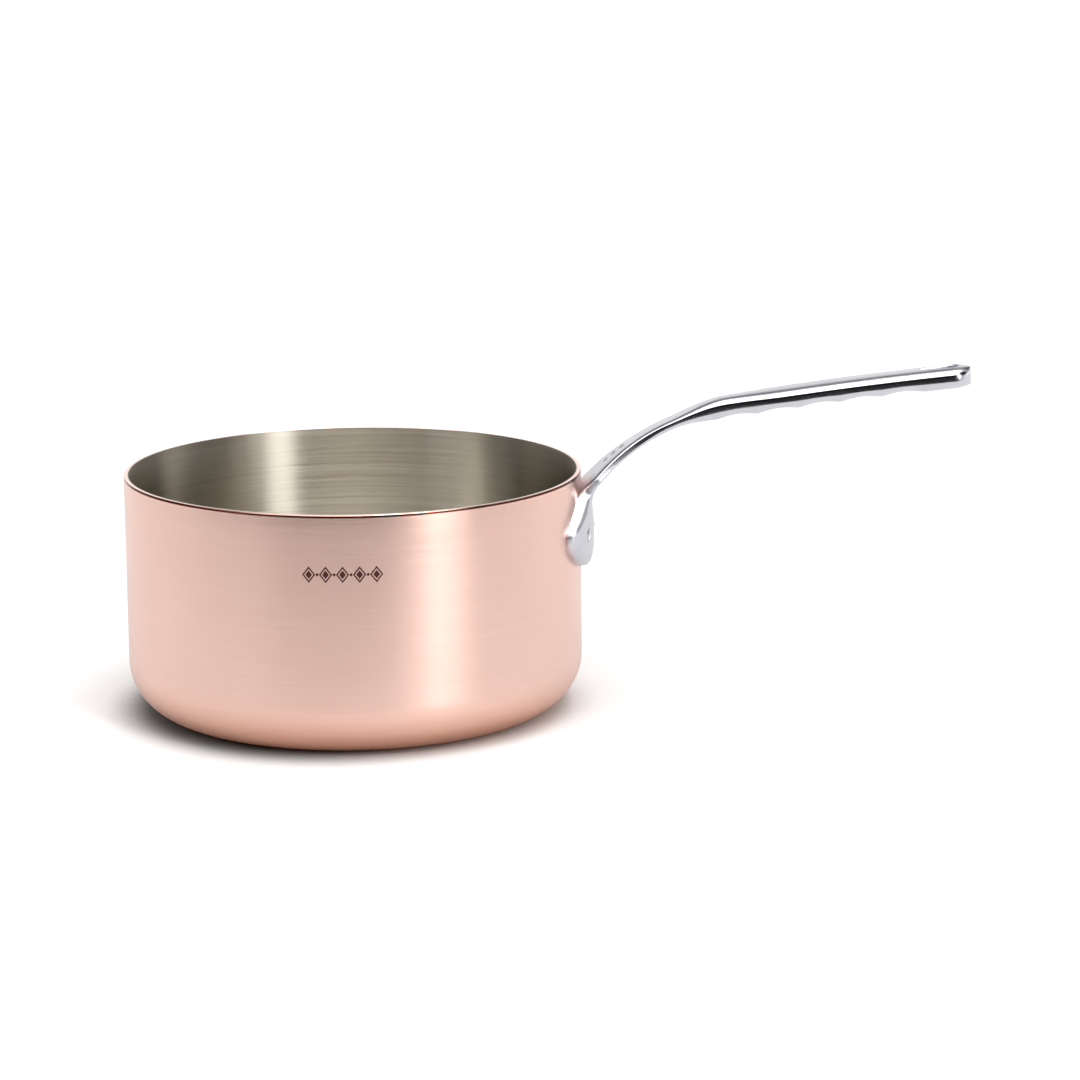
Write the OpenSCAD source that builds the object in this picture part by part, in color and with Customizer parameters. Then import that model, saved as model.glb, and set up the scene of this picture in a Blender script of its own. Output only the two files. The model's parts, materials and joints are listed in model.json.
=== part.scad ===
// Copper saucepan: a copper body lined with stainless steel, with a cast handle on three rivets.
// Millimetres. The origin is the centre of the flat base, +Z is up, and the handle points along +X.

/* [Pan] */
// Outside diameter of the pan
pan_d = 204; // [160:1:280]
// Height from the flat base to the rim
pan_h = 108; // [90:1:160]
// Thickness of the copper
copper_t = 1.8; // [1:0.1:3]
// Thickness of the stainless steel lining
lining_t = 0.2; // [0.1:0.1:0.6]
// Outside radius of the corner between base and wall
corner_r = 24; // [12:1:36]
// Radius that breaks the outer edge of the rim
rim_r = 0.7; // [0.2:0.1:0.9]

/* [Handle pad on the wall] */
// Distance from the rim down to the widest line of the pad
pad_drop = 26; // [20:1:40]
// Width of the pad, along the wall
pad_w = 73; // [64:1:84]
// Length of the pad below its widest line
pad_low = 17.3; // [14:0.1:24]
// Thickness of the pad at its middle
pad_t = 5.8; // [5:0.1:8]
// Height above the widest line where the bend out of the pad starts
pad_rise = 0.6; // [0:0.1:2]

/* [Handle neck] */
// Radius of the bend out of the pad
root_bend = 32; // [26:1:40]
// Width of the neck just above the pad
root_w = 34; // [24:0.5:44]
// Heading of the neck at the end of that bend, in degrees above level
neck_angle = 47; // [40:1:55]
// Radius of the long bend of the neck
neck_bend = 100; // [80:1:130]
// Width of the neck where it meets the grip
neck_w = 16; // [12:0.5:20]
// Thickness of the neck
neck_t = 4.4; // [3:0.1:6]

/* [Handle grip] */
// Distance from the pan's wall to the tip of the handle
handle_l = 173.5; // [150:0.5:220]
// Heading where the grip starts, in degrees above level
grip_angle = 9; // [6:0.5:16]
// Heading at the tip, in degrees above level
tip_angle = 5.5; // [0:0.5:5.5]
// Width of the grip
grip_w = 20; // [16:0.5:26]
// Thickness of the grip at a crest
grip_t = 9.7; // [6:0.1:12]
// Distance before the first crest where the neck begins to thicken
swell_lead = 20; // [10:1:30]
// Length over which it thickens into the grip
swell_l = 26; // [20:1:40]
// Number of finger hollows
hollows = 5; // [3:1:5]
// Distance from one crest to the next
hollow_pitch = 18.4; // [16:0.1:20]
// Depth of a finger hollow
hollow_depth = 1.3; // [0.5:0.1:2]
// Distance from the last crest to the tip
crest_edge = 22; // [16:0.5:26]
// Length over which the tip rounds off, seen from above
tip_round = 9; // [6:0.5:14]

/* [Hanging slot] */
// Length of the slot, from its point to its round end
slot_l = 18; // [12:0.5:24]
// Width of the slot at its round end
slot_w = 7.6; // [6:0.1:10]
// Metal between the slot and the tip
slot_edge = 5.4; // [4:0.1:10]

/* [Rivets] */
// Distance from one rivet to the next
rivet_pitch = 21.5; // [18:0.5:26]
// Distance from the rim down to the rivets
rivet_drop = 26; // [22:1:40]
// Diameter of the shank
shank_d = 4.2; // [3.6:0.1:6]
// Gap around the shank in its holes
shank_gap = 0.05; // [0:0.01:0.1]
// Diameter of the low head inside the pan
head_d = 13; // [10:0.5:16]
// Height of that head at its middle
head_h = 1.8; // [1.2:0.1:3]
// Thickness of that head at its edge
head_edge = 0.6; // [0.3:0.1:1]
// Diameter of the formed end outside
tail_d = 5; // [4.6:0.1:7]
// Height of the formed end above its seat
tail_h = 1.5; // [1:0.1:3]
// Depth of the flat seat in the pad
seat_depth = 1.2; // [0.4:0.1:1.5]
// Gap around the formed end in its seat
seat_gap = 0.4; // [0.2:0.1:0.8]

/* [Hidden] */
$fn = 96;
fine = 720;                               // facets of a wide cylinder that trims a small head
past = 1;                                 // how far a cutting tool runs past the metal
sink = 1.5;                               // how far the pad runs into the wall before its back is cut to it

pan_r = pan_d / 2;
wall_t = copper_t + lining_t;
bore_r = pan_r - wall_t;                  // inside radius of the finished pan
pad_z = pan_h - pad_drop;
rivet_z = pan_h - rivet_drop;
rivet_turn = 2 * asin(rivet_pitch / 2 / pan_r);
seat_r = pan_r + pad_t - seat_depth;      // distance from the pan's axis to a rivet's seat
reach = pan_r + handle_l;                 // distance from the pan's axis to the tip

// The handle follows three arcs, each turning down from the last: root bend, neck bend and grip.
// Point where the heading has become a, on an arc that starts at p with heading a0
function arc_point(p, a0, a, r) = p + r * [sin(a0) - sin(a), cos(a) - cos(a0)];
function mix(a, b, t) = a + (b - a) * t;
// Smooth step from 0 to 1 while t goes from 0 to 1
function ease(t) = let (u = min(max(t, 0), 1)) u * u * (3 - 2 * u);

root_start = [pan_r - sink, pad_z + pad_rise];
neck_start = arc_point(root_start, 90, neck_angle, root_bend);
grip_start = arc_point(neck_start, neck_angle, grip_angle, neck_bend);
grip_bend = (reach - grip_start.x) / (sin(grip_angle) - sin(tip_angle));
function grip_heading(x) = asin(sin(grip_angle) - (x - grip_start.x) / grip_bend);
function grip_point(x) = arc_point(grip_start, grip_angle, grip_heading(x), grip_bend);

last_crest = reach - crest_edge;
first_crest = last_crest - hollows * hollow_pitch;
slot_x = reach - slot_edge - slot_w / 2;  // centre of the slot's round end

// Depth of the finger hollows at distance x from the pan's axis
function hollow(x) = x < first_crest || x > last_crest ? 0
    : hollow_depth * sin(((x - first_crest) % hollow_pitch) / hollow_pitch * 180);
function bar_t(x) = mix(neck_t, grip_t, ease((x - first_crest + swell_lead) / swell_l));
function bar_w(x) = mix(neck_w, grip_w, ease((x - grip_start.x) / swell_l));

root_narrow = 1.3;                        // how much faster than it turns the root narrows
flare = 0.55;                             // share of the neck's bend over which it narrows
tip_thin = 0.7;                           // share of the thickness that is left at the very tip
thin = 0.3;                               // half the size of the sections that close the two ends
// Squareness of the sections: 2 is an ellipse, and a higher number is a squarer section
pad_square = 4;
neck_square = 5;
grip_square = 3;
straight = 0.001;                         // wrap below which a section counts as straight

// A station of the handle is [centre, heading, half width, half thickness, squareness, hollow, wrap],
// where wrap is 1 where the section follows the round wall and 0 where it is straight.
// In the pad, t runs from the lowest edge to the widest line.
function pad_station(t) = let (drop = cos(90 * t))
    [[root_start.x, pad_z - pad_low * drop], 90, max(pad_w / 2 * sin(90 * t), thin),
     max((pad_t + sink) * pow(1 - pow(drop, pad_square), 1 / pad_square), thin), pad_square, 0, 1];
function root_station(t) = let (a = mix(90, neck_angle, t))
    [arc_point(root_start, 90, a, root_bend), a, mix(pad_w, root_w, ease(root_narrow * t)) / 2,
     mix(pad_t + sink, neck_t / 2, ease(t)), mix(pad_square, neck_square, t), 0, 1 - t];
function neck_station(t) = let (a = mix(neck_angle, grip_angle, t),
    p = arc_point(neck_start, neck_angle, a, neck_bend))
    [p, a, mix(root_w, neck_w, sin(90 * min(t / flare, 1))) / 2, bar_t(p.x) / 2,
     mix(neck_square, grip_square, t), hollow(p.x), 0];
function grip_station(x) = let (close = sqrt(1 - pow(max(x - reach + tip_round, 0) / tip_round, 2)))
    [grip_point(x), grip_heading(x), max(bar_w(x) / 2 * close, thin), bar_t(x) / 2 * mix(tip_thin, 1, close),
     grip_square, hollow(x), 0];

pad_steps = 8;
root_steps = 9;
neck_steps = 14;
hollow_steps = 7;                         // stations in one finger hollow
end_steps = 7;
grip_from = grip_start.x + 2;
tip_from = reach - tip_round;
bar_steps = ceil((tip_from - grip_from) / (hollow_pitch / hollow_steps));
stations = concat(
    [for (i = [0:pad_steps]) pad_station(i / pad_steps)],
    [for (i = [1:root_steps]) root_station(i / root_steps)],
    [for (i = [1:neck_steps]) neck_station(i / neck_steps)],
    [for (i = [0:bar_steps - 1]) grip_station(mix(grip_from, tip_from, i / bar_steps))],
    [for (i = [0:end_steps]) grip_station(tip_from + tip_round * sin(90 * i / end_steps))]);

// Corner of a section at angle a: a rounded rectangle whose underside is raised by the hollow,
// bent to the radius of the wall divided by its wrap
corners = 28;
function corner(s, a) = let (e = 2 / s[4],
    flat = s[2] * sign(cos(a)) * pow(abs(cos(a)), e),
    half_t = sin(a) < 0 ? s[3] - s[5] : s[3],
    lift = half_t * sign(sin(a)) * pow(abs(sin(a)), e),
    r = root_start.x / max(s[6], straight), turn = flat / r * 180 / PI,
    across = (r - lift) * sin(turn), up = r - (r - lift) * cos(turn))
    [s[0].x - up * sin(s[1]), across, s[0].y + up * cos(s[1])];

module bar() {
    rows = len(stations);
    points = [for (s = stations) for (k = [0:corners - 1]) corner(s, 360 * k / corners)];
    sides = [for (i = [0:rows - 2]) for (k = [0:corners - 1]) let (n = (k + 1) % corners)
        [i * corners + k, i * corners + n, (i + 1) * corners + n, (i + 1) * corners + k]];
    first = [for (k = [corners - 1:-1:0]) k];
    last = [for (k = [0:corners - 1]) (rows - 1) * corners + k];
    polyhedron(points, concat([first, last], sides), convexity = 6);
}

// Half section of a round vessel of radius r and height h, with a corner of radius c
module vessel_section(r, h, c) {
    square([r - c, h]);
    translate([0, c]) square([r, h - c]);
    intersection() {
        translate([r - c, c]) circle(c);
        square([r, h]);
    }
}

// Puts its children on the axis of a rivet, with the pan's axis at their z = 0
module at_rivet(side) {
    rotate([0, 0, side * rivet_turn]) translate([0, 0, rivet_z]) rotate([0, 90, 0]) children();
}

module rivet_holes() {
    for (side = [-1:1]) at_rivet(side)
        translate([0, 0, bore_r - past]) cylinder(d = shank_d + 2 * shank_gap, h = wall_t + pad_t + 2 * past);
}

module copper_shell() {
    color("#c99a84") difference() {
        rotate_extrude() difference() {
            vessel_section(pan_r, pan_h, corner_r);
            translate([0, copper_t]) vessel_section(pan_r - copper_t, pan_h, corner_r - copper_t);
            // the outer edge of the rim is broken to a small radius
            difference() {
                translate([pan_r - rim_r, pan_h - rim_r]) square(rim_r + past);
                translate([pan_r - rim_r, pan_h - rim_r]) circle(rim_r);
            }
        }
        rivet_holes();
    }
}

module steel_lining() {
    color("#b1a99e") difference() {
        rotate_extrude() difference() {
            translate([0, copper_t]) vessel_section(pan_r - copper_t, pan_h - copper_t, corner_r - copper_t);
            translate([0, wall_t]) vessel_section(bore_r, pan_h, corner_r - wall_t);
        }
        rivet_holes();
    }
}

module slot_cut() {
    r = slot_w / 2;
    point = slot_l - r;                   // from the centre of the round end to the slot's point
    rotate([0, -grip_heading(slot_x), 0]) linear_extrude(4 * grip_t, center = true) {
        circle(r);
        polygon([[-point, 0], r * [-r / point, -sqrt(1 - pow(r / point, 2))],
                 r * [-r / point, sqrt(1 - pow(r / point, 2))]]);
    }
}

module handle() {
    color("#c4c4c8") difference() {
        bar();
        cylinder(r = pan_r, h = pan_h);
        rivet_holes();
        for (side = [-1:1]) at_rivet(side)
            translate([0, 0, seat_r]) cylinder(d = tail_d + 2 * seat_gap, h = pad_t);
        translate([slot_x, 0, grip_point(slot_x).y]) slot_cut();
    }
}

// Rivet with its head formed against the round lining, and its tail on the seat in the pad
module rivet(side) {
    dome = (pow(head_d / 2, 2) + pow(head_h - head_edge, 2)) / 2 / (head_h - head_edge);
    tail_dome = 0.6 * tail_d;
    color("#d0d0d2") {
        intersection() {
            at_rivet(side) translate([0, 0, bore_r - head_h]) intersection() {
                cylinder(d = head_d, h = 2 * head_h);
                translate([0, 0, dome]) sphere(dome);
            }
            cylinder(r = bore_r, h = pan_h, $fn = fine);
        }
        at_rivet(side) {
            translate([0, 0, bore_r - head_h / 2]) cylinder(d = shank_d, h = seat_r - bore_r + head_h / 2);
            translate([0, 0, seat_r]) intersection() {
                cylinder(d = tail_d, h = tail_h);
                translate([0, 0, tail_h - tail_dome]) sphere(tail_dome);
            }
        }
    }
}

module rivet_left() { rivet(1); }
module rivet_middle() { rivet(0); }
module rivet_right() { rivet(-1); }

copper_shell();
steel_lining();
handle();
rivet_left();
rivet_middle();
rivet_right();
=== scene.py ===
# %% [markdown]
# # A copper saucepan, piece by piece
# This lesson dresses a plain CAD model of a saucepan so that it looks like the real thing.
# The pan has six pieces: a copper body, a thin stainless steel lining, a cast stainless handle and three rivets.
# Every cell makes one piece, one finish or one part of the studio, and says why it is made that way.

# %% Load the fixed frame
import json
import math

import bpy
import bmesh
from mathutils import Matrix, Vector

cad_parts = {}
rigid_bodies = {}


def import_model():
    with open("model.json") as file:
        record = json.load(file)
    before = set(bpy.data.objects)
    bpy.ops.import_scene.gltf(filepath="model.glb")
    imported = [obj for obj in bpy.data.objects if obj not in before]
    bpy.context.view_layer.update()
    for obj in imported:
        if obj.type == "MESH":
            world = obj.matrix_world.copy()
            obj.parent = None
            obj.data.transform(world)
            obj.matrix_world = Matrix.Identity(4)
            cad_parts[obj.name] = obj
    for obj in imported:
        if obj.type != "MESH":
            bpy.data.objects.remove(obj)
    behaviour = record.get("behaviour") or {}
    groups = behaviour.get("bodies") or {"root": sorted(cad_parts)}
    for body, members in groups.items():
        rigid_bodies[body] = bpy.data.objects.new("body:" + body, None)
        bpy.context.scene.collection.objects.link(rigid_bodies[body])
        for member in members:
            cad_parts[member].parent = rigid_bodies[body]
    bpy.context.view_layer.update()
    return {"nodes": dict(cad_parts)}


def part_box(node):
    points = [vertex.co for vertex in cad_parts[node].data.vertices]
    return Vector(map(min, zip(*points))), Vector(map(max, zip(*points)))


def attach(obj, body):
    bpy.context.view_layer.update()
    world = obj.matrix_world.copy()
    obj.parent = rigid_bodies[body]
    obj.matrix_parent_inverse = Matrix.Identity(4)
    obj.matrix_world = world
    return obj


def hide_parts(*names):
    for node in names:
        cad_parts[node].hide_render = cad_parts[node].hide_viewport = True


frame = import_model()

print("CAD pieces:", sorted(frame["nodes"]))

# %% [markdown]
# ## Real sizes
# The box of the copper body gives the pan's radius and height.
# The other sizes are the ones the CAD model was built with, here in metres.

# %% Sizes
MM = 0.001
low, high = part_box("copper_shell")
PAN_R = (high.x - low.x) / 2
PAN_H = high.z
COPPER_T = 1.8 * MM
LINING_T = 0.2 * MM
CORNER_R = 24 * MM
RIM_R = 0.7 * MM
BORE_R = PAN_R - COPPER_T - LINING_T
print(f"pan radius {PAN_R:.4f}, height {PAN_H:.4f}")


# %% [markdown]
# ## Small helpers
# Colours are written as the sRGB hex codes that a paint program shows.
# A renderer works with linear light, so one function turns the hex code into linear numbers.
# A second function adds a shader node, sets its inputs and joins its links in one line.

# %% Colour and node helpers
def linear(code):
    """sRGB hex colour to linear red, green, blue and alpha."""
    values = [int(code[i:i + 2], 16) / 255 for i in (1, 3, 5)]
    return [v / 12.92 if v <= 0.04045 else ((v + 0.055) / 1.055) ** 2.4 for v in values] + [1.0]


def material(name):
    """A new material with an empty node tree and its output node."""
    made = bpy.data.materials.new(name)
    made.use_nodes = True
    made.node_tree.nodes.clear()
    made.node_tree.nodes.new("ShaderNodeOutputMaterial")
    return made


def add(owner, kind, settings=None, **inputs):
    """Adds a node. Settings go on the node itself; inputs are values, or sockets to link from."""
    tree = owner.node_tree
    node = tree.nodes.new("ShaderNode" + kind)
    for key, value in (settings or {}).items():
        setattr(node, key, value)
    for key, value in inputs.items():
        name = key.replace("_", " ")
        socket = node.inputs[int(name[1:])] if name[0] == "i" and name[1:].isdigit() else node.inputs[name]
        if isinstance(value, bpy.types.NodeSocket):
            tree.links.new(value, socket)
        else:
            socket.default_value = value
    return node


def finish_material(owner, shader):
    """Links the last shader to the output."""
    output = next(n for n in owner.node_tree.nodes if n.type == "OUTPUT_MATERIAL")
    owner.node_tree.links.new(shader.outputs[0], output.inputs["Surface"])
    return owner


def math_node(owner, operation, a, b=0.0):
    """One arithmetic node; returns its output socket."""
    return add(owner, "Math", {"operation": operation}, i0=a, i1=b).outputs[0]


print("white is", linear("#FFFFFF"), "and copper is", [round(v, 3) for v in linear("#F7CBB4")])


# %% [markdown]
# ## Turned shapes
# The body, its lining and the rivets are round, so each is a profile turned about an axis.
# A spinning lathe or press forms the real ones in the same way.
# The turned mesh also gets a UV map: one direction runs around the piece, the other along the profile, in metres.
# Finishes use it, so a brushed line keeps its real size on every piece.

# %% Mesh helpers
def mesh_object(name, points, faces, uvs=None):
    mesh = bpy.data.meshes.new(name)
    mesh.from_pydata(points, [], faces)
    if uvs:
        layer = mesh.uv_layers.new(name="UVMap")
        for polygon, corners in zip(mesh.polygons, uvs):
            for loop, uv in zip(polygon.loop_indices, corners):
                layer.data[loop].uv = uv
    mesh.update()
    made = bpy.data.objects.new(name, mesh)
    bpy.context.scene.collection.objects.link(made)
    return made


def smooth(obj, degrees):
    """Smooth shading, with edges sharper than the angle kept crisp."""
    obj.data.shade_smooth()
    obj.data.set_sharp_from_angle(angle=math.radians(degrees))
    return obj


def arc(cx, cz, r, start, end, steps):
    """Points on an arc in the section plane, angles in degrees."""
    angles = [math.radians(start + (end - start) * i / steps) for i in range(steps + 1)]
    return [(cx + r * math.cos(a), cz + r * math.sin(a)) for a in angles]


def lathe(name, profile, segments=256):
    """Turns a closed profile of (radius, height) points about the Z axis."""
    rows = len(profile)
    lengths = [0.0]
    for a, b in zip(profile, profile[1:] + profile[:1]):
        lengths.append(lengths[-1] + math.dist(a, b))
    widest = max(r for r, z in profile)
    points = []
    index = {}
    for j, (r, z) in enumerate(profile):
        if r < 1e-7:
            index[j] = [len(points)] * segments
            points.append((0, 0, z))
            continue
        index[j] = list(range(len(points), len(points) + segments))
        for i in range(segments):
            t = math.tau * i / segments
            points.append((r * math.cos(t), r * math.sin(t), z))
    faces, uvs = [], []
    for j in range(rows):
        k = (j + 1) % rows
        if profile[j][0] < 1e-7 and profile[k][0] < 1e-7:
            continue
        for i in range(segments):
            n = (i + 1) % segments
            u0, u1 = [math.tau * widest * v / segments for v in (i, i + 1)]
            v0, v1 = lengths[j], lengths[j + 1]
            corners = [(index[j][i], (u0, v0)), (index[j][n], (u1, v0)),
                       (index[k][n], (u1, v1)), (index[k][i], (u0, v1))]
            kept = []
            for corner in corners:
                if corner[0] not in [c[0] for c in kept]:
                    kept.append(corner)
            faces.append([c[0] for c in kept])
            uvs.append([c[1] for c in kept])
    return mesh_object(name, points, faces, uvs)


print("helpers ready")

# %% [markdown]
# ## Copper body
# Sheet copper 1.8 mm thick is pressed or spun into a straight-sided pan with a round corner at the base.
# The rim is cut square, and its outer edge is broken to a small radius so it doesn't cut a hand.
# Copper keeps its flat lip around the steel lining, so the lining shows as a ring inside it.

# %% Copper body
RIM_IN = 0.15 * MM
r_in = PAN_R - COPPER_T
body_profile = (
    [(0, 0)]
    + [(v * (PAN_R - CORNER_R) / 6, 0) for v in range(1, 6)]
    + arc(PAN_R - CORNER_R, CORNER_R, CORNER_R, -90, 0, 24)
    + [(PAN_R, CORNER_R + (PAN_H - RIM_R - CORNER_R) * v / 8) for v in range(1, 8)]
    + arc(PAN_R - RIM_R, PAN_H - RIM_R, RIM_R, 0, 90, 8)
    + [(r_in + RIM_IN, PAN_H), (r_in, PAN_H - RIM_IN)]
    + arc(PAN_R - CORNER_R, CORNER_R, CORNER_R - COPPER_T, 0, -90, 24)
    + [(0, COPPER_T)]
)
copper_body = smooth(lathe("copper_body", body_profile), 40)
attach(copper_body, "root")
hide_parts("copper_shell")
print("copper body:", len(copper_body.data.polygons), "faces")

# %% [markdown]
# ## Stainless steel lining
# The inside is a skin of stainless steel 0.2 mm thick, bonded to the copper before the pan is formed.
# It stops food touching the copper, and it follows the inside of the body exactly.

# %% Steel lining
GAP = 0.01 * MM
lining_profile = (
    [(0, COPPER_T + GAP)]
    + arc(PAN_R - CORNER_R, CORNER_R, CORNER_R - COPPER_T - GAP, -90, 0, 24)
    + [(r_in - GAP, PAN_H - 0.05 * MM), (BORE_R + 0.05 * MM, PAN_H - 0.05 * MM), (BORE_R, PAN_H - 0.1 * MM)]
    + [(BORE_R, PAN_H + (CORNER_R - PAN_H) * v / 6) for v in range(1, 6)]
    + arc(PAN_R - CORNER_R, CORNER_R, CORNER_R - COPPER_T - LINING_T, 0, -90, 24)
    + [((PAN_R - CORNER_R) * v / 8, COPPER_T + LINING_T) for v in range(7, 0, -1)]
    + [(0, COPPER_T + LINING_T)]
)
lining = smooth(lathe("lining", lining_profile), 40)
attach(lining, "root")
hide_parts("steel_lining")
print("lining:", len(lining.data.polygons), "faces")

# %% [markdown]
# ## Handle
# The handle is one casting in stainless steel. It starts as an oval pad that lies on the wall,
# bends up and away from the rim as a flat neck, and turns into a thicker grip with five finger hollows below.
# Three arcs give its line, and a section is placed square to that line at every station.

# %% The handle's line
PAD_Z = PAN_H - 26 * MM
PAD_W, PAD_LOW, PAD_T, PAD_RISE, SINK = 73 * MM, 17.3 * MM, 5.8 * MM, 0.6 * MM, 1.5 * MM
ROOT_BEND, ROOT_W, NECK_ANGLE = 32 * MM, 34 * MM, 47
NECK_BEND, NECK_W, NECK_T = 100 * MM, 16 * MM, 4.4 * MM
GRIP_ANGLE, TIP_ANGLE, GRIP_W, GRIP_T = 9, 5.5, 20 * MM, 9.7 * MM
SWELL_LEAD, SWELL_L = 20 * MM, 26 * MM
HOLLOWS, HOLLOW_PITCH, HOLLOW_DEPTH, CREST_EDGE = 5, 18.4 * MM, 1.3 * MM, 22 * MM
HANDLE_L, TIP_ROUND = 173.5 * MM, 9 * MM


def mix(a, b, t):
    return a + (b - a) * t


def ease(t):
    """Smooth step from 0 to 1."""
    t = min(max(t, 0), 1)
    return t * t * (3 - 2 * t)


def arc_point(p, a0, a, r):
    """Point on an arc that leaves p with heading a0 and has turned down to heading a."""
    a0, a = math.radians(a0), math.radians(a)
    return (p[0] + r * (math.sin(a0) - math.sin(a)), p[1] + r * (math.cos(a) - math.cos(a0)))


reach = PAN_R + HANDLE_L
root_start = (PAN_R - SINK, PAD_Z + PAD_RISE)
neck_start = arc_point(root_start, 90, NECK_ANGLE, ROOT_BEND)
grip_start = arc_point(neck_start, NECK_ANGLE, GRIP_ANGLE, NECK_BEND)
sines = [math.sin(math.radians(a)) for a in (GRIP_ANGLE, TIP_ANGLE)]
GRIP_BEND = (reach - grip_start[0]) / (sines[0] - sines[1])


def grip_heading(x):
    return math.degrees(math.asin(sines[0] - (x - grip_start[0]) / GRIP_BEND))


def grip_point(x):
    return arc_point(grip_start, GRIP_ANGLE, grip_heading(x), GRIP_BEND)


print(f"neck starts at {neck_start[0]:.4f}, grip at {grip_start[0]:.4f}, tip at {reach:.4f}")

# %% [markdown]
# A finger hollow is a shallow wave in the underside. The grip is thicker and wider than the neck,
# and it swells out of it just before the first finger.

# %% Hollows and swelling
last_crest = reach - CREST_EDGE
first_crest = last_crest - HOLLOWS * HOLLOW_PITCH


def hollow(x):
    if x < first_crest or x > last_crest:
        return 0.0
    return HOLLOW_DEPTH * math.sin((x - first_crest) % HOLLOW_PITCH / HOLLOW_PITCH * math.pi)


def bar_t(x):
    return mix(NECK_T, GRIP_T, ease((x - first_crest + SWELL_LEAD) / SWELL_L))


def bar_w(x):
    return mix(NECK_W, GRIP_W, ease((x - grip_start[0]) / SWELL_L))


print(f"finger hollows from {first_crest:.4f} to {last_crest:.4f}")

# %% [markdown]
# Each station holds the centre, the heading, the half width and half thickness, how square the section is,
# how deep the hollow is, and how far the section wraps around the wall.

# %% Stations
PAD_SQUARE, NECK_SQUARE, GRIP_SQUARE, THIN = 4, 5, 3, 0.3 * MM


def pad_station(t):
    drop = math.cos(math.radians(90 * t))
    thick = (PAD_T + SINK) * (1 - drop ** PAD_SQUARE) ** (1 / PAD_SQUARE)
    return ((root_start[0], PAD_Z - PAD_LOW * drop), 90, max(PAD_W / 2 * math.sin(math.radians(90 * t)), THIN),
            max(thick, THIN), PAD_SQUARE, 0, 1)


def root_station(t):
    a = mix(90, NECK_ANGLE, t)
    return (arc_point(root_start, 90, a, ROOT_BEND), a, mix(PAD_W, ROOT_W, ease(1.3 * t)) / 2,
            mix(PAD_T + SINK, NECK_T / 2, ease(t)), mix(PAD_SQUARE, NECK_SQUARE, t), 0, 1 - t)


def neck_station(t):
    a = mix(NECK_ANGLE, GRIP_ANGLE, t)
    p = arc_point(neck_start, NECK_ANGLE, a, NECK_BEND)
    wide = mix(ROOT_W, NECK_W, math.sin(math.radians(90 * min(t / 0.55, 1))))
    return (p, a, wide / 2, bar_t(p[0]) / 2, mix(NECK_SQUARE, GRIP_SQUARE, t), hollow(p[0]), 0)


def grip_station(x):
    past = max(x - reach + TIP_ROUND, 0) / TIP_ROUND
    close = math.sqrt(max(1 - past * past, 0))
    return (grip_point(x), grip_heading(x), max(bar_w(x) / 2 * close, THIN),
            bar_t(x) / 2 * mix(0.7, 1, close), GRIP_SQUARE, hollow(x), 0)


def series(count, start=0):
    return [i / count for i in range(start, count + 1)]


grip_from = grip_start[0] + 0.5 * MM
tip_from = reach - TIP_ROUND
stations = ([pad_station(t ** 0.8) for t in series(26)] + [root_station(t) for t in series(64, 1)]
            + [neck_station(t) for t in series(48, 1)]
            + [grip_station(mix(grip_from, tip_from, t)) for t in series(110)[:-1]]
            + [grip_station(tip_from + TIP_ROUND * math.sin(math.pi / 2 * t)) for t in series(16)])
print(len(stations), "stations")

# %% [markdown]
# A section is a rounded rectangle. Its underside is raised by the hollow, and near the wall it bends
# around the pan. The mesh keeps two measures for the finishes: how far along the handle a point is,
# and where it is around the section.

# %% Handle casting
SECTION, EVEN = 96, 2.6


def corner(s, a):
    (cx, cz), heading, half_w, half_t, square, dent, wrap = s
    e = 2 / square
    c, n = math.cos(a), math.sin(a)
    flat = half_w * math.copysign(abs(c) ** e, c)
    tall = half_t - dent if n < 0 else half_t
    lift = tall * math.copysign(abs(n) ** e, n)
    r = root_start[0] / max(wrap, 0.001)
    turn = flat / r
    across, up = (r - lift) * math.sin(turn), r - (r - lift) * math.cos(turn)
    h = math.radians(heading)
    return (cx - up * math.sin(h), across, cz + up * math.cos(h))


def section_angles(square):
    """Angles that share the points evenly between the flats and the corners of a squarish section."""
    angles = []
    for k in range(SECTION):
        t = math.tau * (k + 0.5) / SECTION
        c, n = math.cos(t), math.sin(t)
        angles.append(math.atan2(math.copysign(abs(n) ** (square / EVEN), n),
                                 math.copysign(abs(c) ** (square / EVEN), c)))
    return angles


rows = len(stations)
points, along = [], [0.0]
for a, b in zip(stations, stations[1:]):
    along.append(along[-1] + math.dist(a[0], b[0]))
low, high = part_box("handle")
for s in stations:
    for a in section_angles(s[4]):
        points.append(tuple(min(max(v, low[i]), high[i]) for i, v in enumerate(corner(s, a))))
faces, uvs = [], []
for i in range(rows - 1):
    for k in range(SECTION):
        n = (k + 1) % SECTION
        faces.append((i * SECTION + k, i * SECTION + n, (i + 1) * SECTION + n, (i + 1) * SECTION + k))
        uvs.append(((along[i], k / SECTION), (along[i], (k + 1) / SECTION),
                    (along[i + 1], (k + 1) / SECTION), (along[i + 1], k / SECTION)))
last_ring = tuple(range((rows - 1) * SECTION, rows * SECTION))
for face, row in ((tuple(range(SECTION))[::-1], 0), (last_ring, rows - 1)):
    faces.append(face)
    uvs.append([(along[row], 0.5)] * SECTION)
handle = mesh_object("handle_casting", points, faces, uvs)
print("handle casting:", len(handle.data.polygons), "faces,", round(along[-1], 3), "m long")

# %% [markdown]
# ## Cuts in the handle
# The casting is then machined: its back is cut to the radius of the wall, the hanging slot is opened near the tip,
# and each rivet gets a hole with a flat seat. The slot's tool is flared at both faces,
# because a real slot is broken at its edges so that it feels smooth.

# %% Cutting tools
SLOT_FROM_TIP, SLOT_R, SLOT_POINT, SLOT_EDGE = 5.4 * MM, 3.8 * MM, 14.2 * MM, 0.9 * MM
slot_x = reach - SLOT_FROM_TIP - SLOT_R
slot_z = grip_point(slot_x)[1]


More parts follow.
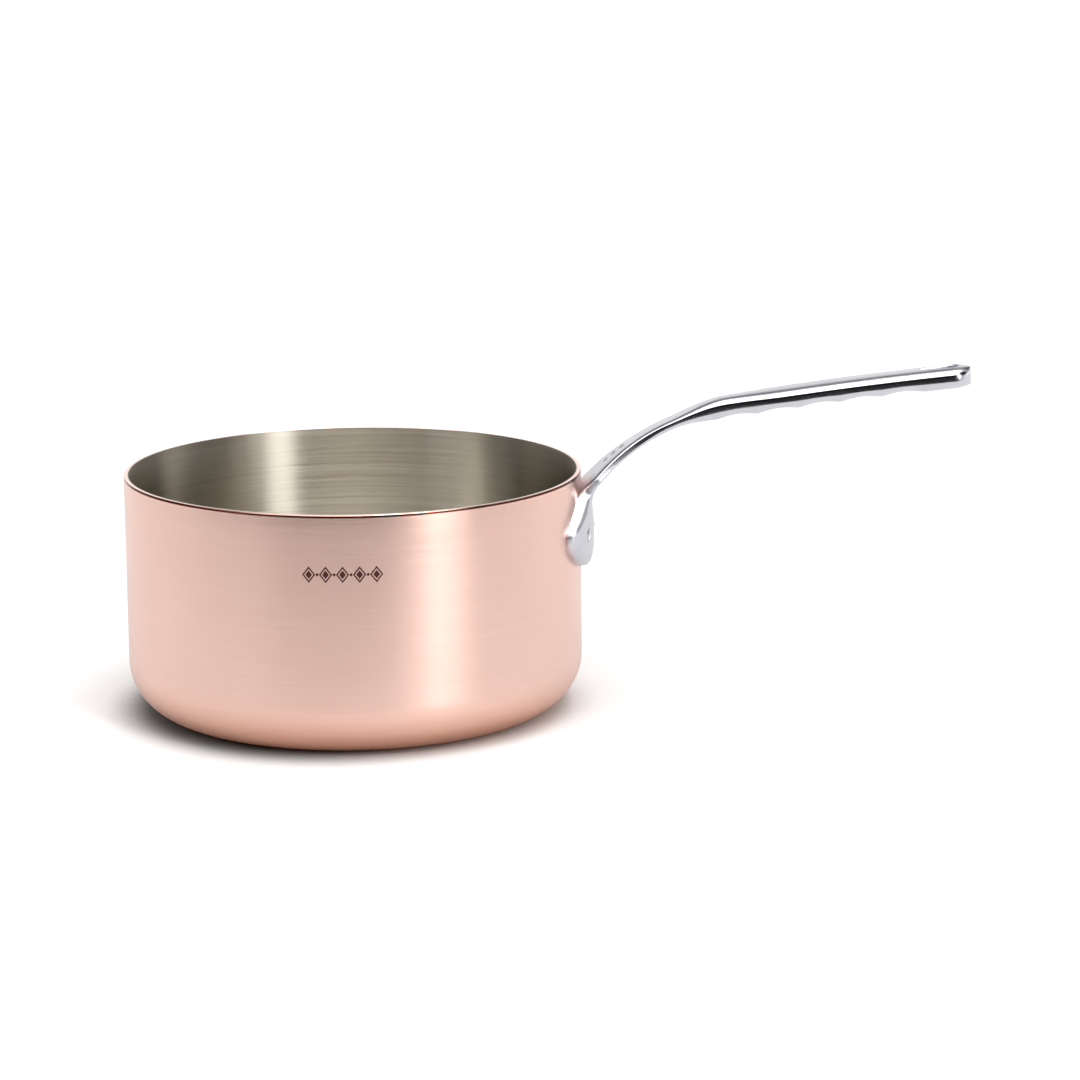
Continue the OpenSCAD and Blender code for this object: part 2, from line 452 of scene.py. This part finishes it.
def slot_outline(grow, count=40):
    """Teardrop with its point towards the pan, made larger by grow all round."""
    r = SLOT_R + grow
    reach_to = SLOT_POINT + grow * SLOT_POINT / SLOT_R
    touch = math.acos(min(r / reach_to, 1))
    start = math.pi - touch
    outline = [(r * math.cos(a), r * math.sin(a)) for a in
               [-start + 2 * start * i / count for i in range(count + 1)]]
    tip = 0.5 * MM + grow
    far = (-reach_to + tip / math.sin(math.pi / 2 - touch), 0)
    return outline + [(far[0] + tip * math.cos(a), tip * math.sin(a))
                      for a in [start + 2 * touch * i / 8 for i in range(9)]]


def tool_from_rings(name, rings):
    """Closes a stack of equal rings into a solid tool."""
    n = len(rings[0])
    tool_faces = [tuple(range(n))[::-1], tuple(range((len(rings) - 1) * n, len(rings) * n))]
    for i in range(len(rings) - 1):
        for k in range(n):
            m = (k + 1) % n
            tool_faces.append((i * n + k, i * n + m, (i + 1) * n + m, (i + 1) * n + k))
    return mesh_object(name, [p for ring in rings for p in ring], tool_faces)


def slot_tool():
    half = GRIP_T / 2
    levels = [(-half - 2 * MM, SLOT_EDGE + 4 * MM)]
    for i in range(7):
        a = math.radians(90 * (1 - i / 6))
        levels.append((-half + SLOT_EDGE - SLOT_EDGE * math.sin(a), SLOT_EDGE * (1 - math.cos(a))))
    levels += [(-h, grow) for h, grow in reversed(levels)]
    h = math.radians(grip_heading(slot_x))
    rings = []
    for height, grow in levels:
        rings.append([(slot_x + x * math.cos(h) - height * math.sin(h), y,
                       slot_z + x * math.sin(h) + height * math.cos(h)) for x, y in slot_outline(grow)])
    return tool_from_rings("slot_tool", rings)


print(f"slot centre at {slot_x:.4f}, {slot_z:.4f}")

# %% [markdown]
# The rivets stand in a row across the pad, each square to the wall.
# A frame for one rivet says where a point lies out from the pan's axis, around the wall and up.

# %% Rivet frame and seat tools
RIVET_PITCH, RIVET_Z = 21.5 * MM, PAN_H - 26 * MM
SHANK_D, HEAD_D, HEAD_H, HEAD_EDGE = 4.2 * MM, 13 * MM, 1.8 * MM, 0.6 * MM
TAIL_D, TAIL_H, SEAT_DEPTH, SEAT_GAP = 5 * MM, 1.5 * MM, 1.2 * MM, 0.4 * MM
SEAT_R = PAN_R + PAD_T - SEAT_DEPTH
RIVET_TURN = 2 * math.asin(RIVET_PITCH / 2 / PAN_R)


def rivet_point(side, out, around, up):
    t = side * RIVET_TURN
    return (out * math.cos(t) - around * math.sin(t), out * math.sin(t) + around * math.cos(t), RIVET_Z + up)


def rivet_ring(side, out, r, count=48):
    return [rivet_point(side, out, r * math.cos(math.tau * i / count), r * math.sin(math.tau * i / count))
            for i in range(count)]


def seat_tool(side):
    seat, hole = TAIL_D / 2 + SEAT_GAP, SHANK_D / 2 + 0.05 * MM
    lip = 0.35 * MM
    stack = [(PAN_R - 3 * MM, hole), (SEAT_R, hole), (SEAT_R, seat), (PAN_R + PAD_T - lip - 0.1 * MM, seat),
             (PAN_R + PAD_T - 0.1 * MM, seat + 0.5 * lip), (PAN_R + PAD_T + lip, seat + 2 * lip),
             (PAN_R + PAD_T + 3 * MM, seat + 8 * lip)]
    return tool_from_rings(f"seat_tool_{side}", [rivet_ring(side, out, r) for out, r in stack])


def wall_tool():
    count = 720
    rings = [[(r * math.cos(math.tau * i / count), r * math.sin(math.tau * i / count), z) for i in range(count)]
             for r, z in ((PAN_R, 0.01), (PAN_R, PAN_H - RIM_R), (PAN_R - RIM_R, PAN_H))]
    return tool_from_rings("wall_tool", rings)


def cut(obj, tool):
    """Takes the tool's volume out of the piece, then throws the tool away."""
    bm = bmesh.new()
    bm.from_mesh(tool.data)
    bmesh.ops.recalc_face_normals(bm, faces=bm.faces)
    bm.to_mesh(tool.data)
    bm.free()
    step = obj.modifiers.new("cut", "BOOLEAN")
    step.operation, step.solver, step.object = "DIFFERENCE", "EXACT", tool
    bpy.context.view_layer.objects.active = obj
    bpy.ops.object.modifier_apply(modifier=step.name)
    bpy.data.objects.remove(tool)


bm = bmesh.new()
bm.from_mesh(handle.data)
bmesh.ops.recalc_face_normals(bm, faces=bm.faces)
bm.to_mesh(handle.data)
bm.free()
cut(handle, wall_tool())
for side in (-1, 0, 1):
    cut(handle, seat_tool(side))
cut(handle, slot_tool())
smooth(handle, 58)
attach(handle, "root")
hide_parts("handle")
print("cut handle:", len(handle.data.polygons), "faces")

# %% [markdown]
# ## Rivets
# A rivet is a stainless pin with a low, wide head inside the pan.
# Its other end is pressed into a small dome on the seat.
# The head is formed against the round lining, so its underside is bent to that radius.

# %% Rivets
def rivet(name, side, count=72):
    head_r, tail_r, shank_r = HEAD_D / 2, TAIL_D / 2, SHANK_D / 2
    rise = HEAD_H - HEAD_EDGE
    dome = (head_r ** 2 + rise ** 2) / 2 / rise
    top = BORE_R - HEAD_H
    radii = [i * head_r / 12 for i in range(12)]
    profile = [(r, top + dome - math.sqrt(dome ** 2 - r ** 2), False) for r in radii]
    soft, edge = 0.2 * MM, BORE_R - HEAD_EDGE
    profile += [(head_r - soft, edge - 0.03 * MM, False), (head_r - 0.3 * soft, edge + 0.05 * MM, False),
                (head_r, edge + soft, False), (head_r, BORE_R, True), (shank_r, BORE_R, True),
                (shank_r, SEAT_R, False), (tail_r, SEAT_R, False)]
    ball = 0.6 * TAIL_D
    shoulder = SEAT_R + TAIL_H - ball + math.sqrt(ball ** 2 - tail_r ** 2)
    profile += [(tail_r, shoulder - 0.25 * MM, False), (tail_r - 0.03 * MM, shoulder - 0.1 * MM, False),
                (tail_r - 0.12 * MM, shoulder + 0.02 * MM, False)]
    for i in range(8):
        r = (tail_r - 0.3 * MM) * (1 - i / 8)
        profile.append((r, SEAT_R + TAIL_H - ball + math.sqrt(ball ** 2 - r ** 2), False))
    profile.append((0, SEAT_R + TAIL_H, False))
    points, faces, uvs = [], [], []
    for r, out, on_lining in profile:
        for i in range(count):
            a = math.tau * i / count
            around, up = r * math.cos(a), r * math.sin(a)
            lie = math.sqrt(BORE_R ** 2 - around ** 2) - 0.01 * MM if on_lining else out
            points.append(rivet_point(side, lie, around, up))
    for j in range(len(profile) - 1):
        for i in range(count):
            n = (i + 1) % count
            faces.append((j * count + i, j * count + n, (j + 1) * count + n, (j + 1) * count + i))
            uvs.append([(math.tau * v / count * head_r, profile[w][0]) for v, w in
                        ((i, j), (i + 1, j), (i + 1, j + 1), (i, j + 1))])
    made = mesh_object(name, points, faces, uvs)
    bm = bmesh.new()
    bm.from_mesh(made.data)
    bmesh.ops.remove_doubles(bm, verts=bm.verts, dist=1e-7)
    bmesh.ops.recalc_face_normals(bm, faces=bm.faces)
    bm.to_mesh(made.data)
    bm.free()
    smooth(made, 35)
    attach(made, "root")
    return made


rivets = {}
for word, side in (("left", 1), ("middle", 0), ("right", -1)):
    rivets[word] = rivet(f"rivet_pin_{word}", side)
    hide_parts(f"rivet_{word}")
print("rivets:", sorted(rivets))

# %% [markdown]
# ## Finishes
# Copper reflects red light best and blue light least, which is what gives it its warm pink.
# The body isn't mirror bright: it was rubbed with a fine abrasive while it turned, so tiny lines run around it.
# Such lines spread a reflection up and down but hardly sideways, so a lamp becomes a tall soft band.
# An anisotropic shader does this: its tangent circles the pan, and a quarter turn of it spreads the light
# across the lines.

# %% Brushed-around metal
def fine_lines(owner, along_scale, across_scale, detail=3.0):
    """Noise stretched along the UV's first direction; scales are lines per metre."""
    uv = add(owner, "UVMap", {"uv_map": "UVMap"})
    stretch = add(owner, "Mapping", Vector=uv.outputs["UV"], Scale=(along_scale, across_scale, 1.0))
    noise = add(owner, "TexNoise", {"noise_dimensions": "2D"}, Vector=stretch.outputs["Vector"],
                Scale=1.0, Detail=detail, Roughness=0.6)
    return noise.outputs[0]


def soft_patches(owner, scale, detail=2.0):
    """Large, soft unevenness in the metal; scale is patches per metre."""
    place = add(owner, "TexCoord")
    noise = add(owner, "TexNoise", {"noise_dimensions": "3D"}, Vector=place.outputs["Object"],
                Scale=scale, Detail=detail, Roughness=0.5)
    return noise.outputs[0]


def span(owner, value, low_in, high_in, low_out, high_out, kind="LINEAR"):
    """Maps a value from one range to another; returns its output socket."""
    node = add(owner, "MapRange", {"interpolation_type": kind}, Value=value)
    for name, number in (("From Min", low_in), ("From Max", high_in), ("To Min", low_out), ("To Max", high_out)):
        node.inputs[name].default_value = number
    return node.outputs[0]


def blend_colour(owner, share, first, second):
    """Mixes two colours; each is a hex code or a socket."""
    node = add(owner, "Mix", {"data_type": "RGBA"}, i0=share)
    for slot_index, colour in ((6, first), (7, second)):
        if isinstance(colour, str):
            node.inputs[slot_index].default_value = linear(colour)
        else:
            owner.node_tree.links.new(colour, node.inputs[slot_index])
    return node.outputs[2]


def brushed_around(name, light_hex, dark_hex, roughness, spread, line_height, streaks=0.4):
    """A turned metal with fine lines around it; returns the material and its principled node."""
    made = material(name)
    patches = soft_patches(made, 14)
    lines = fine_lines(made, 24, 5200)
    broad = fine_lines(made, 10, 900, 2.0)
    share = math_node(made, "ADD", math_node(made, "MULTIPLY", patches, 1 - streaks),
                      math_node(made, "MULTIPLY", broad, streaks))
    colour = blend_colour(made, span(made, share, 0.35, 0.65, 0.0, 1.0), dark_hex, light_hex)
    rough = span(made, broad, 0.3, 0.7, roughness - 0.03, roughness + 0.03)
    bump = add(made, "Bump", Height=lines, Strength=0.2, Distance=line_height)
    tangent = add(made, "Tangent", {"direction_type": "RADIAL", "axis": "Z"})
    shader = add(made, "BsdfPrincipled", Base_Color=colour, Metallic=1.0, Roughness=rough,
                 Anisotropic=spread, Anisotropic_Rotation=0.25, Normal=bump.outputs[0], Tangent=tangent.outputs[0])
    return made, shader


COPPER_LIGHT, COPPER_DARK = "#F8D3C6", "#F3CCBE"
satin_copper, copper_shader = brushed_around("satin copper", COPPER_LIGHT, COPPER_DARK, 0.33, 0.75, 0.002 * MM)
print("satin copper:", len(satin_copper.node_tree.nodes), "nodes")

# %% [markdown]
# The wall carries a plain ornament: a row of lozenges with dots between them.
# It is etched, so it is darker and duller than the metal around it.
# The row is laid out in millimetres around the wall and up it.
# The same height measure gives three more looks. The low corner is painted warmer: a painted reflection of copper
# mirroring copper and the shaded floor near it.
# The lip is polished, which makes it bright, and a thin dark line is painted just under it.

# %% Etched ornament
ORNAMENT_Z, ORNAMENT_TURN, ORNAMENT_PITCH = 82.5 * MM, -89.6, 7.2 * MM
place = add(satin_copper, "TexCoord")
axes = add(satin_copper, "SeparateXYZ", Vector=place.outputs["Object"])
turn = math_node(satin_copper, "ARCTAN2", axes.outputs["Y"], axes.outputs["X"])
offset = math_node(satin_copper, "SUBTRACT", turn, math.radians(ORNAMENT_TURN))
around = math_node(satin_copper, "MULTIPLY", offset, PAN_R)
height = math_node(satin_copper, "SUBTRACT", axes.outputs["Z"], ORNAMENT_Z)


def wrapped(owner, value, pitch):
    """Repeats a measure every pitch, with 0 in the middle of each repeat."""
    return add(owner, "Math", {"operation": "WRAP"}, i0=value, i1=pitch / 2, i2=-pitch / 2).outputs[0]


def lozenges(owner, shift, half_w, half_h, count):
    """How far out from a lozenge's centre a point is, 1 at its edge, and whether the row covers it."""
    moved = math_node(owner, "ADD", around, shift)
    wrap = wrapped(owner, moved, ORNAMENT_PITCH)
    across = math_node(owner, "DIVIDE", math_node(owner, "ABSOLUTE", wrap), half_w)
    up = math_node(owner, "DIVIDE", math_node(owner, "ABSOLUTE", height), half_h)
    distance = math_node(owner, "ADD", across, up)
    half_row = (count / 2) * ORNAMENT_PITCH
    inside_row = math_node(owner, "LESS_THAN", math_node(owner, "ABSOLUTE", around), half_row)
    squares = [math_node(owner, "MULTIPLY", axes.outputs[way], axes.outputs[way]) for way in "XY"]
    from_axis = math_node(owner, "ADD", squares[0], squares[1])
    outside_wall = math_node(owner, "GREATER_THAN", from_axis, (PAN_R - 0.5 * MM) ** 2)
    return distance, math_node(owner, "MULTIPLY", inside_row, outside_wall)


distance, allowed = lozenges(satin_copper, 0.0, 2.8 * MM, 3.6 * MM, 5)
solid = math_node(satin_copper, "LESS_THAN", distance, 1.0)
hollow_part = math_node(satin_copper, "COMPARE", distance, 0.62)
hollow_part.node.inputs[2].default_value = 0.1
big = math_node(satin_copper, "MULTIPLY", math_node(satin_copper, "SUBTRACT", solid, hollow_part), allowed)
distance, allowed = lozenges(satin_copper, ORNAMENT_PITCH / 2, 0.8 * MM, 0.8 * MM, 4)
small = math_node(satin_copper, "MULTIPLY", math_node(satin_copper, "LESS_THAN", distance, 1.0), allowed)
mark = math_node(satin_copper, "MAXIMUM", big, small)
etched = add(satin_copper, "BsdfPrincipled", Base_Color=linear("#43190F"), Metallic=0.2, Roughness=0.6)
both = add(satin_copper, "MixShader", i0=mark, i1=copper_shader.outputs[0], i2=etched.outputs[0])
finish_material(satin_copper, both)
rim_share = span(satin_copper, axes.outputs["Z"], PAN_H - 1.6 * MM, PAN_H - 1.1 * MM, 0.0, 1.0, "SMOOTHSTEP")
rough_socket = copper_shader.inputs["Roughness"]
plain_rough = rough_socket.links[0].from_socket
rim_rough = add(satin_copper, "Mix", {"data_type": "FLOAT"}, i0=rim_share, i2=plain_rough, i3=0.16)
satin_copper.node_tree.links.new(rim_rough.outputs[0], rough_socket)
colour_socket = copper_shader.inputs["Base Color"]
plain_copper = colour_socket.links[0].from_socket
# Painted reflection: towards the bottom the copper's colour is painted warmer and more orange, for copper
# mirroring copper and the shaded floor.
painted_corner_reflection_share = span(satin_copper, axes.outputs["Z"], 2 * MM, 26 * MM, 0.75, 0.0, "SMOOTHSTEP")
copper_with_painted_corner_reflection = blend_colour(satin_copper, painted_corner_reflection_share, plain_copper, "#DDA383")
# A thin band just under the lip is painted dark brown.
line_from = span(satin_copper, axes.outputs["Z"], PAN_H - 1.15 * MM, PAN_H - 0.85 * MM, 0.0, 1.0, "SMOOTHSTEP")
line_to = span(satin_copper, axes.outputs["Z"], PAN_H - 0.35 * MM, PAN_H - 0.15 * MM, 1.0, 0.0, "SMOOTHSTEP")
rim_line = math_node(satin_copper, "MULTIPLY", line_from, line_to)
satin_copper.node_tree.links.new(blend_colour(satin_copper, rim_line, copper_with_painted_corner_reflection, "#6A2C1C"), colour_socket)
copper_body.data.materials.append(satin_copper)
print("ornament: a row of lozenges,", round(5 * ORNAMENT_PITCH * 1000, 1), "mm long")

# %% [markdown]
# The lining is stainless steel. It is a cooler grey than copper, though the room and the copper warm it a little.
# Its abrasive lines are coarser, so the eye picks out level streaks on the inner wall.

# %% Brushed stainless lining
brushed_steel, steel_shader = brushed_around(
    "brushed stainless steel", "#D2CCC0", "#C4BDB0", 0.31, 1.0, 0.003 * MM, 0.6)
finish_material(brushed_steel, steel_shader)
lining.data.materials.append(brushed_steel)
print("brushed stainless steel:", len(brushed_steel.node_tree.nodes), "nodes")

# %% [markdown]
# The handle is cast, then polished. Its top face keeps a satin finish, with fine lines along its length,
# and the sides are brighter. The measure around the section tells the two apart.
# The root next to the wall is hard to reach with a polishing wheel, so its sides stay softer.
# Three small lozenges are engraved on top of the neck. They catch less light than the metal around them.

# %% Cast stainless handle
cast_steel = material("polished cast stainless steel")
uv = add(cast_steel, "UVMap", {"uv_map": "UVMap"})
uv_axes = add(cast_steel, "SeparateXYZ", Vector=uv.outputs["UV"])
from_top = math_node(cast_steel, "ABSOLUTE", math_node(cast_steel, "SUBTRACT", uv_axes.outputs["Y"], 0.25))
on_top = span(cast_steel, from_top, 0.13, 0.20, 1.0, 0.0, "SMOOTHSTEP")
stretch = add(cast_steel, "Mapping", Vector=uv.outputs["UV"], Scale=(30.0, 260.0, 1.0))
grain = add(cast_steel, "TexNoise", {"noise_dimensions": "2D"}, Vector=stretch.outputs["Vector"],
            Scale=1.0, Detail=3.0, Roughness=0.6)
cloud = soft_patches(cast_steel, 60)
steel_colour = blend_colour(cast_steel, span(cast_steel, cloud, 0.35, 0.65, 0.0, 1.0), "#D2D2D8", "#DADAE0")
satin = span(cast_steel, grain.outputs[0], 0.3, 0.7, 0.26, 0.36)
bright = span(cast_steel, cloud, 0.3, 0.7, 0.10, 0.15)
near_wall = span(cast_steel, uv_axes.outputs["X"], 36 * MM, 60 * MM, 0.26, 0.0, "SMOOTHSTEP")
bright = math_node(cast_steel, "ADD", bright, near_wall)
steel_rough = math_node(cast_steel, "ADD", math_node(cast_steel, "MULTIPLY", on_top, satin),
                        math_node(cast_steel, "MULTIPLY", math_node(cast_steel, "SUBTRACT", 1.0, on_top), bright))
grain_bump = add(cast_steel, "Bump", Height=grain.outputs[0], Strength=0.15, Distance=0.004 * MM)
NECK_MARK, NECK_PITCH, MARK_HALF_L, MARK_HALF_W = 54 * MM, 4.6 * MM, 1.9 * MM, 3.2 * MM
spot = add(cast_steel, "SeparateXYZ", Vector=add(cast_steel, "TexCoord").outputs["Object"])
from_mark = math_node(cast_steel, "SUBTRACT", uv_axes.outputs["X"], NECK_MARK)
cell = wrapped(cast_steel, from_mark, NECK_PITCH)
from_centre = math_node(
    cast_steel, "ADD",
    math_node(cast_steel, "DIVIDE", math_node(cast_steel, "ABSOLUTE", cell), MARK_HALF_L),
    math_node(cast_steel, "DIVIDE", math_node(cast_steel, "ABSOLUTE", spot.outputs["Y"]), MARK_HALF_W))
in_row = math_node(cast_steel, "LESS_THAN", math_node(cast_steel, "ABSOLUTE", from_mark), 1.5 * NECK_PITCH)
engraved = math_node(cast_steel, "MULTIPLY", math_node(cast_steel, "LESS_THAN", from_centre, 1.0),
                     math_node(cast_steel, "MULTIPLY", in_row, on_top))
steel_colour = blend_colour(cast_steel, engraved, steel_colour, "#77747A")
cast_shader = add(cast_steel, "BsdfPrincipled", Base_Color=steel_colour, Metallic=1.0, Roughness=steel_rough,
                  Normal=grain_bump.outputs[0])
finish_material(cast_steel, cast_shader)
handle.data.materials.append(cast_steel)
print("cast stainless steel:", len(cast_steel.node_tree.nodes), "nodes")

# %% [markdown]
# The rivets are drawn from stainless wire. The press leaves them bright, with faint turning rings.

# %% Rivet steel
rivet_steel, rivet_shader = brushed_around("bright rivet steel", "#D6D4D2", "#C9C6C2", 0.2, 0.0, 0.003 * MM)
finish_material(rivet_steel, rivet_shader)
for made in rivets.values():
    made.data.materials.append(rivet_steel)
finish_of = {"copper_shell": satin_copper, "steel_lining": brushed_steel, "handle": cast_steel}
for name, node in frame["nodes"].items():
    finish = finish_of.get(name, rivet_steel)
    node.data.materials.clear()
    node.data.materials.append(finish)
print("finishes:", [m.name for m in bpy.data.materials])

# %% [markdown]
# ## Studio
# Polished metal shows whatever stands around it, so most of its look comes from the room.
# The pan stands on a white floor in front of a white backdrop. The room on the camera's side is dark,
# with tall soft lamps to the left and the right and one large lamp overhead.
# The room is drawn as a sky made of soft-edged lamps, each with its width and height in degrees.
# The camera itself sees plain white. Only the metal and the floor receive the lamps.

# %% Room
world = bpy.data.worlds.new("studio")
bpy.context.scene.world = world
world.use_nodes = True
world.node_tree.nodes.clear()
CAMERA_TURN = 3.3
direction = add(world, "TexCoord")
sky = add(world, "SeparateXYZ", Vector=direction.outputs["Generated"])
minus_y = math_node(world, "MULTIPLY", sky.outputs["Y"], -1.0)
azimuth = math_node(world, "DEGREES", math_node(world, "ARCTAN2", sky.outputs["X"], minus_y))
azimuth = math_node(world, "SUBTRACT", azimuth, CAMERA_TURN)
elevation = math_node(world, "DEGREES", math_node(world, "ARCSINE", sky.outputs["Z"]))


def lamp(az_from, az_to, el_from, el_to, power, soft=3.0, soft_el=5.0):
    """A soft-edged patch of light; azimuth 0 is behind the camera and grows to the right."""
    parts = [span(world, azimuth, az_from - soft, az_from + soft, 0.0, 1.0, "SMOOTHSTEP"),
             span(world, azimuth, az_to - soft, az_to + soft, 1.0, 0.0, "SMOOTHSTEP"),
             span(world, elevation, el_from - soft_el, el_from + soft_el, 0.0, 1.0, "SMOOTHSTEP"),
             span(world, elevation, el_to - soft_el, el_to + soft_el, 1.0, 0.0, "SMOOTHSTEP")]
    product = parts[0]
    for part in parts[1:]:
        product = math_node(world, "MULTIPLY", product, part)
    return math_node(world, "MULTIPLY", product, power)


turned = math_node(world, "ABSOLUTE", azimuth)
behind = span(world, turned, 60, 125, 0.03, 0.9, "SMOOTHSTEP")
low_back = span(world, elevation, 6, 16, 1.0, 0.03, "SMOOTHSTEP")
high_back = math_node(world, "MULTIPLY", span(world, turned, 154, 166, 0.0, 1.1, "SMOOTHSTEP"),
                      span(world, elevation, 20, 36, 1.0, 0.0, "SMOOTHSTEP"))
backdrop = math_node(world, "MAXIMUM", math_node(world, "MULTIPLY", behind, low_back), high_back)
lean = span(world, azimuth, -70, 70, 0.65, 1.35, "SMOOTHSTEP")
overhead = math_node(world, "MULTIPLY", lean, span(world, elevation, 58, 66, 0.0, 3.6, "SMOOTHSTEP"))
lamps = [
    lamp(36, 57, -5, 24, 1.95, 2.0),
    lamp(32, 48, 14, 60, 7.0, 1.0),
    lamp(20, 40, -5, 14, 0.3, 8.0),
    lamp(57, 125, -5, 10, 0.6, 4.0),
    lamp(-43, 30, 40, 60, 3.5, 4.0),
    lamp(-70, -43, 18, 60, 2.0, 1.5),
    lamp(-100, -70, 18, 60, 0.9, 5.0),
    lamp(104, 112, 18, 60, 1.4, 1.5),
]
total = math_node(world, "ADD", backdrop, overhead)
for one in lamps:
    total = math_node(world, "ADD", total, one)
seen = add(world, "LightPath")
level = add(world, "Mix", {"data_type": "FLOAT"}, i0=seen.outputs["Is Camera Ray"], i2=total, i3=1.0).outputs[0]
background = add(world, "Background", Color=(1.0, 1.0, 1.0, 1.0), Strength=level)
world.node_tree.links.new(background.outputs[0],
                          world.node_tree.nodes.new("ShaderNodeOutputWorld").inputs["Surface"])
print("room with", len(lamps), "soft lamps")

# %% [markdown]
# The floor is plain and pale. It receives the soft shadow that makes the pan look heavy.
# Where the floor and the pan almost touch, on the side away from the lamps, a painted shadow darkens the paper, so
# the shade is deepest there.
# The metal mirrors a slightly darker paper than the eye sees, which keeps the copper rich.

# %% Floor
side, front, under = 8.0, -0.56, -0.05 * MM
floor = mesh_object("floor", [(-side, front, under), (side, front, under), (side, side, under),
                              (-side, side, under)], [(0, 1, 2, 3)])
paper = material("white paper floor")
looking = add(paper, "LightPath").outputs["Is Camera Ray"]
# Painted shadow: the paper's colour as the camera sees it is painted darker where the pan crowds it, mostly on the
# pan's left.
closeness_for_painted_shadow = add(paper, "AmbientOcclusion", {"samples": 8}, Distance=26 * MM)
across = add(paper, "SeparateXYZ", Vector=add(paper, "TexCoord").outputs["Object"]).outputs["X"]
painted_shadow_side = span(paper, across, -50 * MM, 70 * MM, 1.0, 0.1, "SMOOTHSTEP")
painted_shadow_share = math_node(paper, "MULTIPLY", painted_shadow_side, span(paper, closeness_for_painted_shadow.outputs["AO"], 0.30, 0.80, 1.0, 0.0))
paper_with_painted_shadow = blend_colour(paper, painted_shadow_share, "#EDEDED", "#747A7C")
paper_colour = blend_colour(paper, looking, "#D4D4D4", paper_with_painted_shadow)
finish_material(paper, add(paper, "BsdfDiffuse", Color=paper_colour))
floor.data.materials.append(paper)
print("floor", 2 * side, "m wide")

# %% [markdown]
# ## Camera
# A long lens stands 1.6 m in front of the pan and a little above it, so the rim is a narrow oval
# and the handle points to the right.

# %% Camera
CAMERA_AT = (92.3 * MM, -1600.6 * MM, 424.8 * MM)
AIM, DOWN, ROLL = -0.317, 12.337, -0.415
camera_data = bpy.data.cameras.new("camera")
camera = bpy.data.objects.new("camera", camera_data)
bpy.context.scene.collection.objects.link(camera)
camera_data.sensor_width, camera_data.lens = 36, 121.64
camera_data.clip_start, camera_data.clip_end = 0.05, 50
camera.location = CAMERA_AT
camera.rotation_mode = "XYZ"
look = Vector((math.sin(math.radians(AIM)), math.cos(math.radians(AIM)), -math.tan(math.radians(DOWN))))
camera.rotation_euler = look.to_track_quat("-Z", "Y").to_euler()
camera.rotation_euler.rotate_axis("Z", math.radians(ROLL))
bpy.context.scene.camera = camera
bpy.context.scene.view_settings.view_transform = "Standard"
bpy.context.scene.view_settings.look = "None"
print("camera at", tuple(round(v, 3) for v in camera.location))
